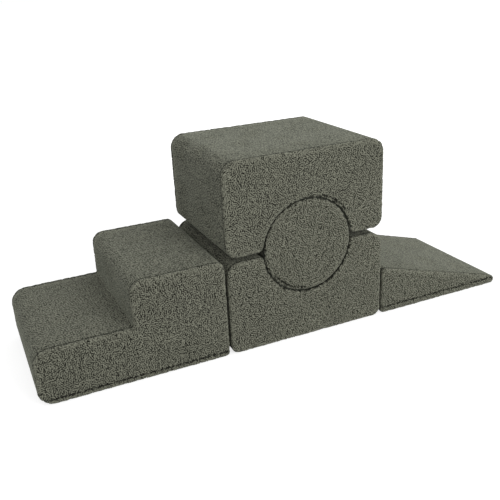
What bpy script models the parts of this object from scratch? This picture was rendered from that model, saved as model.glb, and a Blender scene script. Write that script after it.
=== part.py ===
"""Soft play foam climber: stairs, two notched blocks, a roller and a ramp.

Five loose foam modules stand in a row. The lower block has a half-round notch in its top, the
upper block the same notch in its underside, and the roller lies in the round hole between them.
Each module is a foam core in a sewn cover: a front and a back panel that roll over the edges,
a boxing strip that runs round the profile, a bottom panel where it stands on the floor, and a
zip in the back panel with its slider and pull.

X runs along the row from the stairs to the ramp, Y goes from the front to the back, Z is up.
The origin is on the floor under the middle of the whole set.
"""

import math

import bmesh
import bpy
from mathutils import Matrix, Vector

# The row of modules, in metres. All are about as deep as the lower block.
MODULE_DEPTH = 0.505
STAIRS_DEEPER = 0.011
TOP_SHALLOWER = 0.012
RAMP_SHALLOWER = 0.010
ROLLER_SHORTER = 0.005

STAIRS_LENGTH = 0.634
STAIRS_HEIGHT = 0.346
STEP_RUN = 0.316
STEP_HEIGHT = 0.190
STAIRS_GAP = 0.008

BLOCK_WIDTH = 0.600
BASE_HEIGHT = 0.331
TOP_HEIGHT = 0.321
BLOCK_GAP = 0.018

ROLLER_RADIUS = 0.1645
NOTCH_EASE = 0.003
NOTCH_RISE = 0.0127

RAMP_LENGTH = 0.546
RAMP_HEIGHT = 0.189
RAMP_TIP = 0.033
RAMP_GAP = 0.007

# Rounding of the profiles, from the stairs' lower left corner to the ramp's
STAIRS_TOE_RADIUS = 0.052
LOWER_NOSE_RADIUS = 0.056
UPPER_NOSE_RADIUS = 0.042
STAIRS_SHOULDER_RADIUS = 0.030
STAIRS_HEEL_RADIUS = 0.014
BASE_FOOT_RADIUS = 0.030
BASE_SHOULDER_RADIUS = 0.050
BASE_LIP_RADIUS = 0.015
TOP_CROWN_RADIUS = 0.050
TOP_UNDER_RADIUS = 0.040
TOP_LIP_RADIUS = 0.028
RAMP_BROW_RADIUS = 0.016
RAMP_HEEL_RADIUS = 0.012

# How the modules are sewn
EDGE_ROLL = 0.010
SEAM_SET = 0.014
COVER = 0.004
GAP = 0.0003
SEAM_DIP = 0.0015
SEAM_EASE = 0.020

# The zips in the back panels
ZIP_SLOT = 0.016
ZIP_TAPE = 0.0015
ZIP_RISE = 0.060
ZIP_MARGIN = 0.075
RAMP_ZIP_RISE = 0.044
RAMP_ZIP_MARGIN = 0.050
RAMP_ZIP_SHARE = 0.55
ROLLER_ZIP_SHARE = 1.40
CHAIN_WIDTH = 0.006
CHAIN_RISE = 0.0016
SLIDER_LENGTH = 0.012
SLIDER_WALL = 0.0014
SLIDER_TOP = 0.0013
SLIDER_EASE = 0.0003
SLIDER_REST = 0.004
BRIDGE_LENGTH = 0.0096
BRIDGE_WIDTH = 0.0022
BRIDGE_LEG = 0.0014
BRIDGE_BAR = 0.0010
BRIDGE_EYE = 0.0026
PULL_LENGTH = 0.026
PULL_WIDTH = 0.0074
PULL_ARM = 0.0018
PULL_THICKNESS = 0.0012
PULL_PIN = 0.0014
PULL_EYE = 0.0095
PULL_ROUNDING = 0.0016

# Facets and finishes
CORNER_STEPS = 6
LIP_STEPS = 3
NOTCH_STEPS = 18
ROLLER_STEPS = 40
ROLL_STEPS = 3
OVERRUN = 0.010
SMOOTH_DEGREES = 35
CLOTH_ROUGHNESS = 0.95
TAPE_ROUGHNESS = 0.80
ZIP_ROUGHNESS = 0.45
ZIP_METALLIC = 0.60

TEDDY_GREEN = (0.105, 0.112, 0.080)
BOTTOM_GREEN = (0.070, 0.075, 0.056)
FOAM_CREAM = (0.720, 0.660, 0.500)
TAPE_GREEN = (0.050, 0.054, 0.040)
ZIP_GREY = (0.160, 0.165, 0.150)
ZIP_FINISH = (ZIP_GREY, ZIP_ROUGHNESS, ZIP_METALLIC)

STAIRS_DEPTH = MODULE_DEPTH + STAIRS_DEEPER
BASE_DEPTH = MODULE_DEPTH
TOP_DEPTH = MODULE_DEPTH - TOP_SHALLOWER
RAMP_DEPTH = MODULE_DEPTH - RAMP_SHALLOWER
ROLLER_LENGTH = MODULE_DEPTH - ROLLER_SHORTER
STAND_LENGTH = STAIRS_LENGTH + STAIRS_GAP + BLOCK_WIDTH + RAMP_GAP + RAMP_LENGTH
BRIDGE_RISE = CHAIN_RISE + SLIDER_EASE + SLIDER_TOP
SLIDER_RISE = BRIDGE_RISE + BRIDGE_EYE + BRIDGE_BAR
ZIP_PROUD = ZIP_TAPE + SLIDER_RISE - COVER
STAND_DEPTH = max(STAIRS_DEPTH, BASE_DEPTH, TOP_DEPTH, RAMP_DEPTH) + ZIP_PROUD
NOTCH_RADIUS = ROLLER_RADIUS + NOTCH_EASE
SEAT_DROP = NOTCH_EASE - GAP


def clear_scene():
    """Remove what the file holds, so that the script starts from nothing."""
    for obj in list(bpy.data.objects):
        bpy.data.objects.remove(obj, do_unlink=True)


def make_material(name, colour, roughness, metallic=0.0):
    """One Principled material with a plain colour."""
    material = bpy.data.materials.new(name)
    material.use_nodes = True
    shader = material.node_tree.nodes["Principled BSDF"]
    shader.inputs["Base Color"].default_value = (*colour, 1.0)
    shader.inputs["Roughness"].default_value = roughness
    shader.inputs["Metallic"].default_value = metallic
    material.diffuse_color = (*colour, 1.0)
    return material


def finish_object(name, builder, finish, parent=None):
    """Turn a bmesh into the named object, with its faces out and its own material."""
    bmesh.ops.recalc_face_normals(builder, faces=builder.faces)
    mesh = bpy.data.meshes.new(name)
    builder.to_mesh(mesh)
    builder.free()
    mesh.shade_smooth()
    mesh.set_sharp_from_angle(angle=math.radians(SMOOTH_DEGREES))
    obj = bpy.data.objects.new(name, mesh)
    bpy.context.scene.collection.objects.link(obj)
    obj.parent = parent
    obj.data.materials.append(make_material(name + "_material", *finish))
    return obj


def make_empty(name, place, parent=None):
    """An empty that carries a module, or stands on a joint's axis."""
    empty = bpy.data.objects.new(name, None)
    bpy.context.scene.collection.objects.link(empty)
    empty.parent = parent
    empty.location = place
    return empty


# Profiles. A profile point is (x, z, out_x, out_z): a place in the module's front plane, and
# the direction that one unit of offset moves it, so that corners keep their mitre.


def round_corner(centre_x, centre_z, radius, start, end, steps):
    """A convex arc from one angle to another, in degrees, with its outward directions."""
    points = []
    for step in range(steps + 1):
        angle = math.radians(start + (end - start) * step / steps)
        out_x, out_z = math.cos(angle), math.sin(angle)
        points.append((centre_x + radius * out_x, centre_z + radius * out_z, out_x, out_z))
    return points


def hollow_arc(centre_x, centre_z, radius, start, end, steps):
    """A concave arc whose facets touch the circle from outside, so that a roller clears them."""
    turn = math.radians(end - start) / steps
    mitre = 1.0 / math.cos(turn / 2)
    points = []
    for step in range(1, steps):
        angle = math.radians(start) + turn * step
        away_x, away_z = math.cos(angle) * mitre, math.sin(angle) * mitre
        points.append((centre_x + radius * away_x, centre_z + radius * away_z, -away_x, -away_z))
    return points


def notched_profile(height, notch_z, foot, shoulder, lip):
    """A block with a round notch in its top, from its lower right corner to its lower left.

    Foot and shoulder are the radii of its lower and upper corners, lip of the notch's edges.
    """
    half = BLOCK_WIDTH / 2
    lip_z = height - lip
    reach = NOTCH_RADIUS + lip
    lip_offset = math.sqrt(reach ** 2 - (notch_z - lip_z) ** 2)
    tilt = math.degrees(math.asin((notch_z - lip_z) / reach))
    shoulder = min(shoulder, half - lip_offset)
    right, high = BLOCK_WIDTH - shoulder, height - shoulder
    points = round_corner(BLOCK_WIDTH - foot, foot, foot, -90, 0, CORNER_STEPS)
    points += round_corner(right, high, shoulder, 0, 90, CORNER_STEPS)
    points += round_corner(half + lip_offset, lip_z, lip, 90, 180 - tilt, LIP_STEPS)
    points += hollow_arc(half, notch_z, NOTCH_RADIUS, -tilt, tilt - 180, NOTCH_STEPS)
    points += round_corner(half - lip_offset, lip_z, lip, tilt, 90, LIP_STEPS)
    points += round_corner(shoulder, high, shoulder, 90, 180, CORNER_STEPS)
    points += round_corner(foot, foot, foot, 180, 270, CORNER_STEPS)
    return points


def turned_over(profile, height):
    """The same profile upside down, still running the same way round."""
    return [(x, height - z, out_x, -out_z) for x, z, out_x, out_z in reversed(profile)]


def stairs_profile():
    """Two steps with rounded noses and a sharp inside corner."""
    heel, shoulder, toe = STAIRS_HEEL_RADIUS, STAIRS_SHOULDER_RADIUS, STAIRS_TOE_RADIUS
    upper, lower = UPPER_NOSE_RADIUS, LOWER_NOSE_RADIUS
    right, top = STAIRS_LENGTH, STAIRS_HEIGHT
    points = round_corner(right - heel, heel, heel, -90, 0, CORNER_STEPS)
    points += round_corner(right - shoulder, top - shoulder, shoulder, 0, 90, CORNER_STEPS)
    points += round_corner(STEP_RUN + upper, top - upper, upper, 90, 180, CORNER_STEPS)
    points.append((STEP_RUN, STEP_HEIGHT, -1.0, 1.0))
    points += round_corner(lower, STEP_HEIGHT - lower, lower, 90, 180, CORNER_STEPS)
    points += round_corner(toe, toe, toe, 180, 270, CORNER_STEPS)
    return points


def ramp_profile():
    """A slope from the tall end at the left down to a thin round tip at the right."""
    tip = RAMP_TIP / 2
    across, fall = RAMP_LENGTH - tip, tip - RAMP_HEIGHT
    slope = -math.atan2(fall, across) - math.asin(tip / math.hypot(across, fall))
    sine, cosine = math.sin(slope), math.cos(slope)
    touch_x, touch_z = across + tip * sine, tip + tip * cosine
    brow = RAMP_BROW_RADIUS
    brow_z = touch_z + (touch_x - brow) * sine / cosine - brow / cosine
    up = 90 - math.degrees(slope)
    points = round_corner(across, tip, tip, -90, up, CORNER_STEPS)
    points += round_corner(brow, brow_z, brow, up, 180, CORNER_STEPS)
    heel = RAMP_HEEL_RADIUS
    points += round_corner(heel, heel, heel, 180, 270, CORNER_STEPS)
    return points


def circle_profile(radius):
    """A full circle round the module's own origin, starting at its lowest point."""
    return round_corner(0, 0, radius, -90, 270, ROLLER_STEPS)[:-1]


def place(point, inset, y):
    """A profile point moved in by the inset, at a depth along Y."""
    x, z, out_x, out_z = point
    return Vector((x - inset * out_x, y, z - inset * out_z))


# Solids


def loft(rings):
    """A closed body through closed loops of equal length, capped at both ends."""
    builder = bmesh.new()
    loops = [[builder.verts.new(corner) for corner in ring] for ring in rings]
    for low, high in zip(loops, loops[1:]):
        for index in range(len(low)):
            after = (index + 1) % len(low)
            builder.faces.new((low[index], low[after], high[after], high[index]))
    builder.faces.new(loops[0])
    builder.faces.new(reversed(loops[-1]))
    return builder


def roll_stations(radius, depth, back, seam_dip=0):
    """Inset and depth pairs round an edge roll, from the flat face to the seam on the side."""
    stations = []
    for step in range(ROLL_STEPS):
        angle = math.radians(90 * step / ROLL_STEPS)
        stations.append((EDGE_ROLL - radius * math.sin(angle), EDGE_ROLL - radius * math.cos(angle)))
    stations.append((EDGE_ROLL - radius + seam_dip, SEAM_SET))
    if back:
        return [(inset, depth - y) for inset, y in stations]
    return stations


def make_core(module, name):
    """The foam inside the cover, with the same rolled edges."""
    radius = EDGE_ROLL - COVER - GAP
    front = roll_stations(radius, module["depth"], back=False)
    back = roll_stations(radius, module["depth"], back=True)
    rings = []
    for inset, y in front + back[::-1]:
        rings.append([place(point, inset, y) for point in module["profile"]])
    return finish_object(name, loft(rings), (FOAM_CREAM, CLOTH_ROUGHNESS), module["empty"])


def make_panel(module, name, back):
    """A front or back panel: flat in the middle, rolled over the edge to its seam."""
    outer = roll_stations(EDGE_ROLL, module["depth"], back, SEAM_DIP)
    inner = roll_stations(EDGE_ROLL - COVER, module["depth"], back)
    rings = []
    for inset, y in outer + inner[::-1]:
        rings.append([place(point, inset, y) for point in module["profile"]])
    return finish_object(name, loft(rings), (TEDDY_GREEN, CLOTH_ROUGHNESS), module["empty"])


def make_strip(module, name, points):
    """The boxing strip round the profile, drawn in at its two long seams."""
    first = SEAM_SET + GAP
    last = module["depth"] - first
    stations = [
        (SEAM_DIP, first),
        (0, first + SEAM_EASE),
        (0, last - SEAM_EASE),
        (SEAM_DIP, last),
    ]
    builder = bmesh.new()
    rows = []
    for point in points:
        outer = [builder.verts.new(place(point, inset, y)) for inset, y in stations]
        inner = [builder.verts.new(place(point, COVER, y)) for _, y in stations]
        rows.append(outer + inner[::-1])
    for low, high in zip(rows, rows[1:]):
        for index in range(len(low)):
            after = (index + 1) % len(low)
            builder.faces.new((low[index], low[after], high[after], high[index]))
    builder.faces.new(rows[0])
    builder.faces.new(reversed(rows[-1]))
    return finish_object(name, builder, (TEDDY_GREEN, CLOTH_ROUGHNESS), module["empty"])


def box_between(builder, low, high):
    """Add a box from its lowest to its highest corner."""
    middle = [(a + b) / 2 for a, b in zip(low, high)]
    size = [b - a for a, b in zip(low, high)]
    matrix = Matrix.Translation(middle) @ Matrix.Diagonal((*size, 1.0))
    bmesh.ops.create_cube(builder, size=1.0, matrix=matrix)


def make_bottom(module, name):
    """The flat panel under a module, between the two ends of its boxing strip."""
    first, last = module["profile"][-1], module["profile"][0]
    builder = bmesh.new()
    seam = SEAM_SET + GAP
    low = (first[0] + GAP, seam, 0)
    high = (last[0] - GAP, module["depth"] - seam, COVER)
    box_between(builder, low, high)
    return finish_object(name, builder, (BOTTOM_GREEN, CLOTH_ROUGHNESS), module["empty"])


def extruded(outline, start, end, along):
    """A closed body from an outline of (a, b) pairs, swept along X or Z."""
    builder = bmesh.new()
    rings = []
    for distance in (start, end):
        if along == "X":
            ring = [builder.verts.new((distance, a, b)) for a, b in outline]
        else:
            ring = [builder.verts.new((a, b, distance)) for a, b in outline]
        rings.append(ring)
    low, high = rings
    for index in range(len(outline)):
        after = (index + 1) % len(outline)
        builder.faces.new((low[index], low[after], high[after], high[index]))
    builder.faces.new(low)
    builder.faces.new(reversed(high))
    return builder


# The zip. Its own frame has X along the zip, Y out of the panel from the tape's face, Z across.


def cut_slot(panel, empty, length):
    """Cut the zip's slot through the back panel."""
    builder = bmesh.new()
    half = length / 2
    low = (-half, -COVER - OVERRUN, -ZIP_SLOT / 2)
    high = (half, COVER + OVERRUN, ZIP_SLOT / 2)
    box_between(builder, low, high)
    cutter = finish_object(panel.name + "_slot_cutter", builder, ZIP_FINISH, empty)
    cutter.hide_render = True
    cutter.display_type = "WIRE"
    slot = panel.modifiers.new("zip_slot", "BOOLEAN")
    slot.operation = "DIFFERENCE"
    slot.solver = "EXACT"
    slot.object = cutter


def make_zip_tape(name, empty, length):
    """The tape that fills the slot, with the closed chain of teeth standing on it."""
    half_tape = ZIP_SLOT / 2 - GAP
    half_chain = CHAIN_WIDTH / 2
    outline = [
        (-ZIP_TAPE, -half_tape),
        (0, -half_tape),
        (0, -half_chain),
        (CHAIN_RISE, -half_chain),
        (CHAIN_RISE, half_chain),
        (0, half_chain),
        (0, half_tape),
        (-ZIP_TAPE, half_tape),
    ]
    half = length / 2 - GAP
    finish_object(name, extruded(outline, -half, half, "X"), (TAPE_GREEN, TAPE_ROUGHNESS), empty)


def make_slider(name, empty):
    """A slider that hugs the chain on three sides and carries a bridge for the pull."""
    inside = CHAIN_WIDTH / 2 + SLIDER_EASE
    outside = inside + SLIDER_WALL
    under = CHAIN_RISE + SLIDER_EASE
    outline = [
        (SLIDER_EASE, -outside),
        (BRIDGE_RISE, -outside),
        (BRIDGE_RISE, outside),
        (SLIDER_EASE, outside),
        (SLIDER_EASE, inside),
        (under, inside),
        (under, -inside),
        (SLIDER_EASE, -inside),
    ]
    half = SLIDER_LENGTH / 2
    slider = finish_object(name, extruded(outline, -half, half, "X"), ZIP_FINISH, empty)
    reach = BRIDGE_LENGTH / 2
    eye = reach - BRIDGE_LEG
    sunk = BRIDGE_RISE - SLIDER_TOP / 2
    arch = [
        (-reach, sunk),
        (reach, sunk),
        (reach, SLIDER_RISE),
        (-reach, SLIDER_RISE),
    ]
    hole = [
        (-eye, BRIDGE_RISE),
        (eye, BRIDGE_RISE),
        (eye, SLIDER_RISE - BRIDGE_BAR),
        (-eye, SLIDER_RISE - BRIDGE_BAR),
    ]
    half_bridge = BRIDGE_WIDTH / 2
    parts = (
        ("bridge", "UNION", arch, half_bridge),
        ("eye", "DIFFERENCE", hole, half_bridge + SLIDER_WALL),
    )
    for label, operation, shape, reach_z in parts:
        body = extruded(shape, -reach_z, reach_z, "Z")
        tool = finish_object(name + "_" + label, body, ZIP_FINISH, empty)
        tool.hide_render = True
        tool.display_type = "WIRE"
        modifier = slider.modifiers.new(label, "BOOLEAN")
        modifier.operation = operation
        modifier.solver = "EXACT"
        modifier.object = tool
    return slider


def make_pull(name, empty):
    """A flat pull whose end bar passes through the bridge. It hinges about its own Z axis."""
    half = PULL_WIDTH / 2
    low, high = -PULL_PIN / 2, PULL_LENGTH
    thick = PULL_THICKNESS / 2
    rounding = PULL_ROUNDING
    outline = [
        (low, -half),
        (high - rounding, -half),
        (high, rounding - half),
        (high, half - rounding),
        (high - rounding, half),
        (low, half),
    ]
    builder = bmesh.new()
    rings = [[builder.verts.new((x, y, z)) for x, z in outline] for y in (-thick, thick)]
    for index in range(len(outline)):
        after = (index + 1) % len(outline)
        builder.faces.new((rings[0][index], rings[0][after], rings[1][after], rings[1][index]))
    builder.faces.new(rings[0])
    builder.faces.new(reversed(rings[1]))
    pull = finish_object(name, builder, ZIP_FINISH, empty)
    cutter_body = bmesh.new()
    reach = half - PULL_ARM
    overrun = PULL_THICKNESS
    box_between(cutter_body, (PULL_PIN / 2, -overrun, -reach), (PULL_EYE, overrun, reach))
    cutter = finish_object(name + "_eye_cutter", cutter_body, ZIP_FINISH, empty)
    cutter.hide_render = True
    cutter.display_type = "WIRE"
    eye = pull.modifiers.new("eye", "BOOLEAN")
    eye.operation = "DIFFERENCE"
    eye.solver = "EXACT"
    eye.object = cutter


def add_zip(module, panel, centre_x, centre_z, length):
    """The whole zip of a module, closed, with its slider at the right-hand end."""
    name = module["name"]
    tape_y = module["depth"] - COVER + ZIP_TAPE
    zip_empty = make_empty(name + "_zip", (centre_x, tape_y, centre_z), module["empty"])
    cut_slot(panel, zip_empty, length)
    make_zip_tape(name + "_zip_tape", zip_empty, length)
    rest_x = length / 2 - SLIDER_REST - SLIDER_LENGTH / 2
    slider_empty = make_empty(name + "_zip_slide_axis", (rest_x, 0, 0), zip_empty)
    make_slider(name + "_zip_slider", slider_empty)
    hinge_y = BRIDGE_RISE + BRIDGE_EYE / 2
    hinge_empty = make_empty(name + "_zip_pull_axis", (0, hinge_y, 0), slider_empty)
    make_pull(name + "_zip_pull", hinge_empty)


# Modules


def start_module(name, x, y, z, depth, profile):
    """What the makers of a module's pieces share."""
    return {"name": name, "depth": depth, "profile": profile, "empty": make_empty(name, (x, y, z))}


def build_stairs(left, front):
    """The two-step stairs at the left end of the row."""
    module = start_module("stairs", left, front, 0, STAIRS_DEPTH, stairs_profile())
    make_core(module, "stairs_foam_core")
    make_panel(module, "stairs_front_panel", back=False)
    back = make_panel(module, "stairs_back_panel", back=True)
    make_strip(module, "stairs_boxing_strip", module["profile"])
    make_bottom(module, "stairs_bottom_panel")
    add_zip(module, back, STAIRS_LENGTH / 2, ZIP_RISE, STAIRS_LENGTH - 2 * ZIP_MARGIN)


def build_base_block(left, front):
    """The lower block, with the notch in its top."""
    profile = notched_profile(
        BASE_HEIGHT,
        BASE_HEIGHT + NOTCH_RISE,
        BASE_FOOT_RADIUS,
        BASE_SHOULDER_RADIUS,
        BASE_LIP_RADIUS,
    )
    module = start_module("base_block", left, front, 0, BASE_DEPTH, profile)
    make_core(module, "base_block_foam_core")
    make_panel(module, "base_block_front_panel", back=False)
    back = make_panel(module, "base_block_back_panel", back=True)
    make_strip(module, "base_block_boxing_strip", profile)
    make_bottom(module, "base_block_bottom_panel")
    add_zip(module, back, BLOCK_WIDTH / 2, ZIP_RISE, BLOCK_WIDTH - 2 * ZIP_MARGIN)


def build_top_block(left, front, roller_z):
    """The upper block, turned over so that its notch sits on the roller."""
    bottom_z = BASE_HEIGHT + BLOCK_GAP
    notch_z = roller_z - SEAT_DROP - bottom_z
    upright = notched_profile(
        TOP_HEIGHT,
        TOP_HEIGHT - notch_z,
        TOP_CROWN_RADIUS,
        TOP_UNDER_RADIUS,
        TOP_LIP_RADIUS,
    )
    profile = turned_over(upright, TOP_HEIGHT)
    module = start_module("top_block", left, front, bottom_z, TOP_DEPTH, profile)
    make_core(module, "top_block_foam_core")
    make_panel(module, "top_block_front_panel", back=False)
    back = make_panel(module, "top_block_back_panel", back=True)
    make_strip(module, "top_block_boxing_strip", closed_at_notch(profile, notch_z))
    zip_z = TOP_HEIGHT - ZIP_RISE
    add_zip(module, back, BLOCK_WIDTH / 2, zip_z, BLOCK_WIDTH - 2 * ZIP_MARGIN)


def closed_at_notch(profile, notch_z):
    """The profile as an open strip whose two ends meet in a seam at the notch's crown."""
    crown_z = notch_z + NOTCH_RADIUS
    middle = BLOCK_WIDTH / 2
    crown = min(
        range(len(profile)),
        key=lambda index: math.hypot(profile[index][0] - middle, profile[index][1] - crown_z),
    )
    x, z, out_x, out_z = profile[crown]
    before = (x + GAP / 2, z, out_x, out_z)
    after = (x - GAP / 2, z, out_x, out_z)
    ring = profile[crown + 1:] + profile[:crown]
    if ring[0][0] > x:
        before, after = after, before
    return [after] + ring + [before]


def build_roller(x, front, z):
    """The roller in the round hole between the two blocks."""
    profile = circle_profile(ROLLER_RADIUS)
    module = start_module("roller", x, front, z, ROLLER_LENGTH, profile)
    make_core(module, "roller_foam_core")
    make_panel(module, "roller_front_disc", back=False)
    back = make_panel(module, "roller_back_disc", back=True)
    seam = math.degrees(GAP / 2 / ROLLER_RADIUS)
    wrap = round_corner(0, 0, ROLLER_RADIUS, seam - 90, 270 - seam, ROLLER_STEPS)
    make_strip(module, "roller_wrap", wrap)
    add_zip(module, back, 0, 0, ROLLER_RADIUS * ROLLER_ZIP_SHARE)


def build_ramp(left, front):
    """The wedge at the right end of the row."""
    module = start_module("ramp", left, front, 0, RAMP_DEPTH, ramp_profile())
    make_core(module, "ramp_foam_core")
    make_panel(module, "ramp_front_panel", back=False)
    back = make_panel(module, "ramp_back_panel", back=True)
    make_strip(module, "ramp_boxing_strip", module["profile"])
    make_bottom(module, "ramp_bottom_panel")
    length = RAMP_LENGTH * RAMP_ZIP_SHARE
    add_zip(module, back, RAMP_ZIP_MARGIN + length / 2, RAMP_ZIP_RISE, length)


def build():
    """Place the five modules along the row."""
    clear_scene()
    stairs_left = -STAND_LENGTH / 2
    blocks_left = stairs_left + STAIRS_LENGTH + STAIRS_GAP
    ramp_left = blocks_left + BLOCK_WIDTH + RAMP_GAP
    front = -STAND_DEPTH / 2
    roller_z = BASE_HEIGHT + NOTCH_RISE - SEAT_DROP
    build_stairs(stairs_left, front)
    build_base_block(blocks_left, front)
    build_roller(blocks_left + BLOCK_WIDTH / 2, front, roller_z)
    build_top_block(blocks_left, front, roller_z)
    build_ramp(ramp_left, front)


build()
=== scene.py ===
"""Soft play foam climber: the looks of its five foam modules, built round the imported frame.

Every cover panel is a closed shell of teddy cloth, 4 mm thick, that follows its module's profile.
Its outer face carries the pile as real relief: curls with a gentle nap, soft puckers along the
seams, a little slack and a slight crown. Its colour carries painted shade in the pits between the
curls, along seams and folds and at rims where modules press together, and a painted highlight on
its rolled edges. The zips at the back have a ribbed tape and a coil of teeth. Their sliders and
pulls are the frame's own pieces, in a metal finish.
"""

import math

import bmesh
import bpy
import numpy as np
from mathutils import Matrix, Vector
from mathutils.geometry import delaunay_2d_cdt
from mathutils.kdtree import KDTree


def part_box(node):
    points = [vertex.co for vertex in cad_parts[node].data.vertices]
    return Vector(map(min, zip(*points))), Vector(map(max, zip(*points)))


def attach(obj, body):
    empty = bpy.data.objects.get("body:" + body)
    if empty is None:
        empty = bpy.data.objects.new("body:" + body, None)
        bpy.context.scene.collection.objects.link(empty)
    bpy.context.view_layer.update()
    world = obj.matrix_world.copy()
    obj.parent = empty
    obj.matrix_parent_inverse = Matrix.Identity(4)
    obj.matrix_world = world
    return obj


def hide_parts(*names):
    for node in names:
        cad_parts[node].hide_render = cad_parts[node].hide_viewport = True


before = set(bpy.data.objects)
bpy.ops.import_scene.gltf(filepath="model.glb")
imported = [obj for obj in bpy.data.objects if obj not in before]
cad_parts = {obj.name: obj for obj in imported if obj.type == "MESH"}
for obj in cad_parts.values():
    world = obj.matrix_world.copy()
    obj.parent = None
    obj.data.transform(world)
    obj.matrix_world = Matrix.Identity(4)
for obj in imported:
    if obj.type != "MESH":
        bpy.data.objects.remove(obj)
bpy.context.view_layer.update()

# Profiles, in metres. Lengths, heights and depths come from the frame.
STAIRS_TOE_RADIUS = 0.052
LOWER_NOSE_RADIUS = 0.056
UPPER_NOSE_RADIUS = 0.042
STAIRS_SHOULDER_RADIUS = 0.030
STAIRS_HEEL_RADIUS = 0.014
STEP_RUN = 0.316
STEP_HEIGHT = 0.190
STEP_CREASE_RADIUS = 0.005
BASE_FOOT_RADIUS = 0.030
BASE_SHOULDER_RADIUS = 0.050
BASE_LIP_RADIUS = 0.015
TOP_CROWN_RADIUS = 0.050
TOP_UNDER_RADIUS = 0.040
TOP_LIP_RADIUS = 0.028
NOTCH_EASE = 0.003
NOTCH_RISE = 0.0127
RAMP_TIP_RADIUS = 0.0165
RAMP_BROW_RADIUS = 0.016
RAMP_HEEL_RADIUS = 0.012

# The roller's outline ends this many degrees before it would meet its start
ROLLER_STEP = 0.6

# Sewing. A panel's edge rolls over, runs straight for SEAM_SIDE and is tucked in at its seam, in
# steps that are shares of TUCK and of SEAM_SIDE. A strip's face starts at a share of SEAM_SIDE from
# its seam. An arc is where a seam shows, in degrees.
EDGE_ROLL = 0.011
SEAM_SET = 0.014
SEAM_SIDE = SEAM_SET - EDGE_ROLL
SIDE_SHARES = (0.3, 0.6)
TUCK = 0.0012
TUCK_STEPS = ((0.25, 0.3), (0.6, 0.1), (1.0, 0.0))
STRIP_START = 0.7
COVER = 0.004
BOTTOM_EDGE = COVER / 4
BOTTOM_SEGMENTS = 3
GAP = 0.0003
FLOOR_EASE = 0.0004
STAIRS_SEAM_RISE = 0.020
RAMP_SEAM_RISE = 0.026
DISC_SEAM_INSET = 0.012
DISC_SEAM_ARC = (212, 264)
NOTCH_SEAM_OUTSET = 0.011
NOTCH_SEAM_ARC = (36, 72)

# Relief of the cloth. Each band of curls has a share and its smallest and largest bump, and SIZES
# and BREAKS are such pairs of bumps. SHOWS is a middle, a swing about it and its two ends.
PILE = 0.0026
PANEL_SINK = 0.45
STRIP_SINK = 0.85
LOWEST = -0.0034
TIGHT = 0.0002
ROOM_SLOPE = 0.35
FREE_RISE = 0.0030
FINE_CURLS = ((1.10, (0.0054, 0.0078)), (0.50, (0.0078, 0.0150)), (0.22, (0.0150, 0.0500)))
WIDE_CURLS = ((1.00, (0.0070, 0.0095)), (0.40, (0.0095, 0.0180)), (0.18, (0.0180, 0.0600)))
FINE_ENOUGH = 0.0025
CURL_WAVES = 128
SLOW_WAVES = 24
SLACK_WAVES = 16
CURL_SHARPNESS = 3.2
NAP_SHARE = 0.40
NAP_TURN = 1.6
NAP_SIZES = (0.050, 0.200)
SLACK = 0.0008
SLACK_SIZES = (0.11, 0.28)
SLACK_REACH = 0.050
CROWN = 0.0016
CROWN_REACH = 0.080
PUCKER = 0.0007
PUCKER_SIZES = (0.022, 0.050)
PUCKER_REACH = 0.020
SEAM_DIP = 0.0022
SEAM_REACH = 0.0046
# The pile's value in seams, folds and rims: painted shade, darker than the pits.
PAINTED_CREASE_SHADE = -0.40
SEAM_BREAKS = (0.012, 0.090)
SEAM_SHOWS = (0.45, 0.45, 0.0, 1.0)
UPRIGHT_SEAM_SHARE = 0.20
BACK_SEAM_SHARE = 0.30
FOLD_REACH = 0.0034
FOLD_SHOWS = (0.70, 0.35, 0.2, 1.0)
# On a rolled edge the pile lies calm, and its colour is painted lighter than the cloth's mean as a
# painted highlight. The ROLL strengths below set how much, most on the back edges.
ROLL_MIDDLE = 0.015
ROLL_REACH = 0.013
ROLL_CALM_AND_HIGHLIGHT = 0.70
ROLL_BREAKS = (0.020, 0.120)
ROLL_SHOWS = (0.65, 0.45, 0.0, 1.0)
FRONT_ROLL = 0.75
BACK_ROLL = 1.60
BACK_STRIP_ROLL = 1.20
# A rim's painted shade: the pile darkens close to where a module presses on a neighbour.
RIM_REACH = 0.0039
RIM_BREAKS = (0.015, 0.060)
RIM_SHOWS = (1.0, 0.35, 0.4, 2.0)
ZIP_CALM = 0.018

# Random draws: a seed for each module, and what its pieces and their noises add to it
MODULE_SEEDS = {"stairs": 100, "base_block": 200, "top_block": 300, "roller": 400, "ramp": 500}
BACK_SEED = 10
STRIP_SEED = 20
BREAKS_SEED = 1
PUCKER_SEED = 2
SLACK_SEED = 3
CURLS_SEED = 4
RIM_SEED = 7
NAP_SEED = 8

# Zips. A tooth's rows are shares of its half length and of its radius, a cord's of its half width.
CHAIN_RISE = 0.0016
CHAIN_WIDTH = 0.0058
TOOTH_PITCH = 0.0015
TOOTH_LEAN = TOOTH_PITCH / 4
TOOTH_RADIUS = 0.0006
TOOTH_SIDES = 6
TOOTH_ROWS = ((-1.0, 0.3), (-0.85, 0.9), (0.0, 1.0), (0.85, 0.9), (1.0, 0.3))
CORD_RISE = 0.0003
CORD_OFFSET = 3 * CORD_RISE
CORD_HALF_WIDTH = 2 * CORD_RISE
CORD_ROWS = (1.0, 0.5, -0.5, -1.0)

# Mesh spacing. The grid's shake and clearance are shares of it, and STEPS are the fewest that an
# arc or a rectangle's side is cut into. FILL_INSIDE is the number by which Blender's triangulation
# keeps to the inside of a ring, and points closer than FILL_MERGE become one.
FINE = 0.0017
MEDIUM = 0.0032
COARSE = 0.006
ROLL_SPACING = 0.0018
ARC_STEPS = 3
SIDE_STEPS = 2
SEAM_POINTS = 400
GRID_SHAKE = 0.25
GRID_CLEARANCE = 0.7
FILL_INSIDE = 1
FILL_MERGE = 1e-7

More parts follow.
